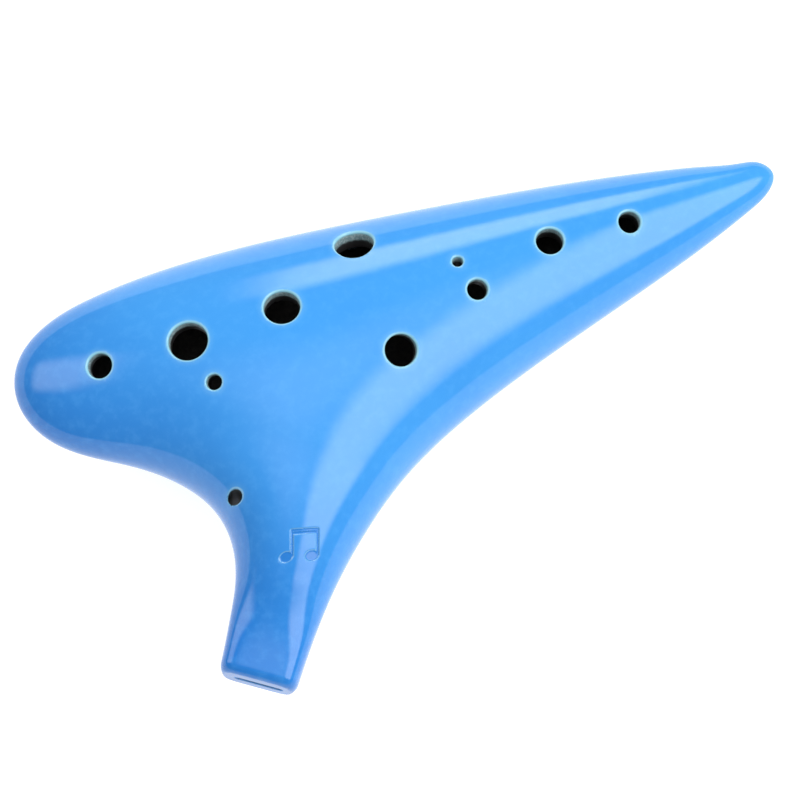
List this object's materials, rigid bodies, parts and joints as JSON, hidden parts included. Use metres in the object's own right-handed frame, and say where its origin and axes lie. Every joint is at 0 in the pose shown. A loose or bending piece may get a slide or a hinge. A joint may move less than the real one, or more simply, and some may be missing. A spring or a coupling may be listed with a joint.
{
  "type": "ocarina",
  "caption": "Transverse clay ocarina, a hollow egg-shaped vessel with a tapering tail, a side mouthpiece, finger and thumb holes, and a cord hole.",
  "frame": {"origin": "middle of the flat on the belly that the instrument rests on", "axes": "+X along the body towards the tail, -Y to the player's side where the mouthpiece is, +Z to the finger side"},
  "size_m": [0.1809, 0.1038, 0.0399],
  "materials": {
    "glaze": "glossy transparent blue glaze over fired clay, paler where it thins at the edges",
    "slip": "fired slip, matte",
    "bare_clay": "dark fired clay, matte, unglazed inside the neck and the chamber"
  },
  "bodies": {
    "root": {"upper_shell": "glaze", "lower_shell": "glaze", "slip_seam": "slip", "windway_roof": "bare_clay", "windway_floor": "bare_clay", "labium": "glaze"}
  },
  "joints": []
}
